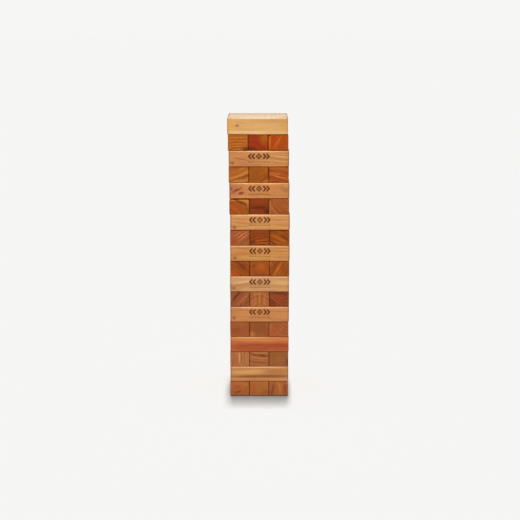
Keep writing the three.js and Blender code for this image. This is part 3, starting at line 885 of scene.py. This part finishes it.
def wood(name, size, ends_front, long, end, pith, ring, tilt, heart, figure, grain, deep, knots, paint, rng, gain):
    """One block's own wood."""
    mat = bpy.data.materials.new(name)
    mat.use_nodes = True
    t = Tree(mat.node_tree)
    seed = tuple(rng.uniform(0, 400, 3))

    def use(tree, **values):
        n = t.node("ShaderNodeGroup", node_tree=tree)
        for k, v in values.items():
            t.put(n.inputs[k], v)
        return n

    place = use(PLACE, seed=seed, depth=size[1] / 2, half=size[0] / 2, ends=1.0 if ends_front else 0.0)
    P, S, face = place.outputs
    w = use(SOFTWOOD, P=P, S=S, pith=(0.0, *pith), slope=(0.0, *tilt), ring=ring)
    knot = None
    for kx, kz, kr, strength, side in knots:
        sy = side * size[1] / 2
        a0 = Vector((kx - 12.0, 0.6 * sy + 0.4 * pith[0], kz * 0.6 + 0.4 * pith[1]))
        b0 = Vector((kx, sy, kz))
        more = {} if knot is None else {k: knot.outputs[k] for k in ("push", "K", "rim", "rings")}
        knot = use(LIMB, P=P, S=S, foot=tuple(b0), axis=tuple((b0 - a0).normalized()), r=kr, strength=strength, **more)
    if knot:
        for k in ("push", "K", "rim", "rings"):
            t.put(w.inputs[k], knot.outputs[k])
    spot = None
    ground = lin(end if ends_front else long)
    for cu, cv, ru, rv, ang, soft, rgb, amount, *into in paint or ():
        more = {"C": (0, 0, 0), "A": 0.0} if spot is None else {k: spot.outputs[k] for k in "CA"}
        deeper = (lightness(lin(rgb)) / lightness(ground)) ** deep
        tone = scaled(lin(rgb), (deeper, deeper, deeper))
        spot = use(
            STAIN_AND_HIGHLIGHT, face=face, at=(cu, cv, 0), turn=(0, 0, math.radians(ang)), radii=(ru, rv, *(into or (26.0,))),
            lo=1 - soft, hi=1 + soft, amount=amount, tone=scaled(tone, gain), **more,
        )
    if spot:
        t.put(w.inputs["C"], spot.outputs["C"])
        t.put(w.inputs["A"], spot.outputs["A"])
    L = scaled(lin(long), GAIN_LONG if ends_front or gain is None else gain)
    E = scaled(lin(end), GAIN_END if gain is None or not ends_front else gain)
    values = dict(
        fine_ring=max(2.6, min(4.6, ring / 3.4)), half=size[0] / 2, s0=seed[0], s1=seed[1], s2=seed[2],
        long_a=scaled(L, (1.12, 1.14, 1.16)), long_b=scaled(L, (0.78, 0.62, 0.46)),
        end_a=scaled(E, (1.28, 1.36, 1.46)), end_b=scaled(E, (0.50, 0.35, 0.24)),
        heart=heart or 0.0, heart_on=0.8 if heart else 0.0, figure=figure, grain=grain,
        knot_a=scaled(lin((168, 98, 50)), GAIN_LONG), knot_b=scaled(lin((132, 66, 28)), GAIN_LONG),
        knot_rim=scaled(lin((112, 58, 28)), GAIN_LONG),
    )
    for k, v in values.items():
        t.put(w.inputs[k], v)
    bump = t.node("ShaderNodeBump")
    bump.inputs["Strength"].default_value = 0.35
    bump.inputs["Distance"].default_value = 0.0003
    t.put(bump.inputs["Height"], w.outputs["Height"])
    bsdf = t.node("ShaderNodeBsdfPrincipled")
    bsdf.inputs["Specular IOR Level"].default_value = 0.1
    bsdf.inputs["Coat Weight"].default_value = 0.1
    bsdf.inputs["Coat Roughness"].default_value = 0.32
    t.put(bsdf.inputs["Base Color"], w.outputs["Colour"])
    t.put(bsdf.inputs["Roughness"], w.outputs["Rough"])
    t.put(bsdf.inputs["Normal"], bump.outputs["Normal"])
    out = t.node("ShaderNodeOutputMaterial")
    t.put(out.inputs["Surface"], bsdf.outputs["BSDF"])
    return mat


# --------------------------------------------------------------------------
# Build
# --------------------------------------------------------------------------
# Balance of each front block's colours under the studio light, in percent.
GAIN = {
    "layer_01_centre": (83.3, 80.3, 63.4),
    "layer_01_left": (84.1, 80.9, 65.4),
    "layer_01_right": (79.4, 73.6, 58.1),
    "layer_02_front": (78.1, 74.5, 66.3),
    "layer_03_centre": (80.7, 74.9, 58.2),
    "layer_03_left": (77.5, 74.3, 65.8),
    "layer_03_right": (66.6, 58.8, 43.3),
    "layer_04_front": (80.9, 82.1, 69.6),
    "layer_05_centre": (69.6, 61.8, 40.6),
    "layer_05_left": (69.2, 65.4, 49),
    "layer_05_right": (68.3, 61.9, 44.1),
    "layer_06_front": (78, 74.9, 70.6),
    "layer_07_centre": (70.5, 62.9, 48.4),
    "layer_07_left": (72.2, 63, 45.6),
    "layer_07_right": (74.4, 62.1, 32.6),
    "layer_08_front": (75.8, 75.1, 75.5),
    "layer_09_centre": (68.8, 59.2, 16.7),
    "layer_09_left": (79.3, 71.1, 13),
    "layer_09_right": (74.2, 69.4, 18.6),
    "layer_10_front": (81.6, 81.9, 81.8),
    "layer_11_centre": (70.6, 57.8, 3),
    "layer_11_left": (71.2, 64.2, 44),
    "layer_11_right": (67.5, 57.6, 8.6),
    "layer_12_front": (86.3, 87.1, 82),
    "layer_13_centre": (68.5, 53, 3),
    "layer_13_left": (70.1, 64.6, 23.2),
    "layer_13_right": (70.4, 63.2, 38.6),
    "layer_14_front": (80.8, 78.9, 68.1),
    "layer_15_centre": (70.9, 62.2, 16.3),
    "layer_15_left": (74.7, 72.2, 43),
    "layer_15_right": (71.2, 62.3, 22.7),
    "layer_16_front": (80, 80.5, 70.4),
    "layer_17_centre": (65.6, 51.3, 3),
    "layer_17_left": (73.1, 65.7, 30.9),
    "layer_17_right": (65.3, 57.7, 3),
    "layer_18_front": (76.3, 73.2, 70.9),
}
# The other blocks' colours.
LONGS = [(200, 136, 80), (206, 147, 90), (193, 124, 70), (210, 156, 100), (186, 106, 58), (196, 130, 76), (204, 142, 80)]
ENDS = [(166, 92, 46), (158, 76, 28), (174, 102, 48), (146, 70, 30), (168, 84, 32), (178, 104, 46), (160, 88, 40)]

for index, name in enumerate(sorted(frame["nodes"])):
    layer, pos = int(name[6:8]), name[9:]
    rng = np.random.default_rng(1000 + index * 17)
    node = frame["nodes"][name]
    co = np.unique(
        np.round(np.array([v.co for v in node.data.vertices], float), 6), axis=0
    )
    centre = (co.min(0) + co.max(0)) / 2
    flat = co[:, :2] - centre[:2]
    w, vec = np.linalg.eigh(flat.T @ flat)
    along = vec[:, 1]
    ends_front = layer % 2 == 1
    if (along[1] if ends_front else along[0]) < 0:
        along = -along
    turn = math.atan2(along[1], along[0])
    rel = flat @ along
    across = flat @ np.array([-along[1], along[0]])
    size = (
        np.array([np.ptp(rel), np.ptp(across), np.ptp(co[:, 2])]) * 1000
    )
    spec = BLOCKS.get(name, {})
    long = spec.get("long") or LONGS[rng.integers(len(LONGS))]
    end = spec.get("end") or ENDS[rng.integers(len(ENDS))]
    pith = spec.get("pith")
    if pith is None:
        a = rng.uniform(0, 2 * math.pi)
        d = rng.choice([rng.uniform(5, 40), rng.uniform(45, 110)])
        pith = (d * math.cos(a), d * math.sin(a))
    elif ends_front:
        # the table gives it as seen from the front, where the block's own +Y is to the left
        pith = (-pith[0], pith[1])
    ring = spec.get("ring") or rng.uniform(5, 10)
    tilt = spec.get("tilt") or tuple(rng.uniform(-0.014, 0.014, 2))
    heart = spec.get("heart", 0) if spec else (rng.uniform(25, 60) if rng.random() < 0.35 else 0)
    # which narrow side has the ornament
    if not ends_front and pos == "front":
        mark_side = -1 if layer in MARKED_FRONT else 1
    else:
        mark_side = int(rng.choice([-1, 1]))
    mark_at = tuple(rng.uniform(-1.2, 1.2, 2))
    knots = [(kx, kz, kr, s, -1) for kx, kz, kr, s in KNOTS.get(name, [])]
    if pos != "front" and rng.random() < 0.45:
        for _ in range(rng.integers(1, 3)):
            knots.append(
                (
                    rng.uniform(-95, 95),
                    rng.uniform(-22, 22),
                    rng.uniform(2.4, 5.6),
                    rng.uniform(0.5, 0.85),
                    -mark_side,
                )
            )
    me = block_mesh(name + "_block", *size, rng, mark_side, mark_at)
    gain = tuple(g / 100 for g in GAIN[name]) if name in GAIN else None
    mat = wood(name + "_wood", size, ends_front, long, end, pith, ring, tilt, heart, spec.get("figure", 0.8), spec.get("grain", 0.8), spec.get("deep", 0.45), knots, spec.get("paint"), rng, gain)
    me.materials.append(mat)
    ob = bpy.data.objects.new(name + "_block", me)
    ob.location = centre
    ob.rotation_euler = (0, 0, turn)
    scene.collection.objects.link(ob)
    lit_blocks.objects.link(ob)
    body = next(k for k, v in frame["record"]["behaviour"]["bodies"].items() if name in v)
    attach(ob, body)
    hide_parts(name)
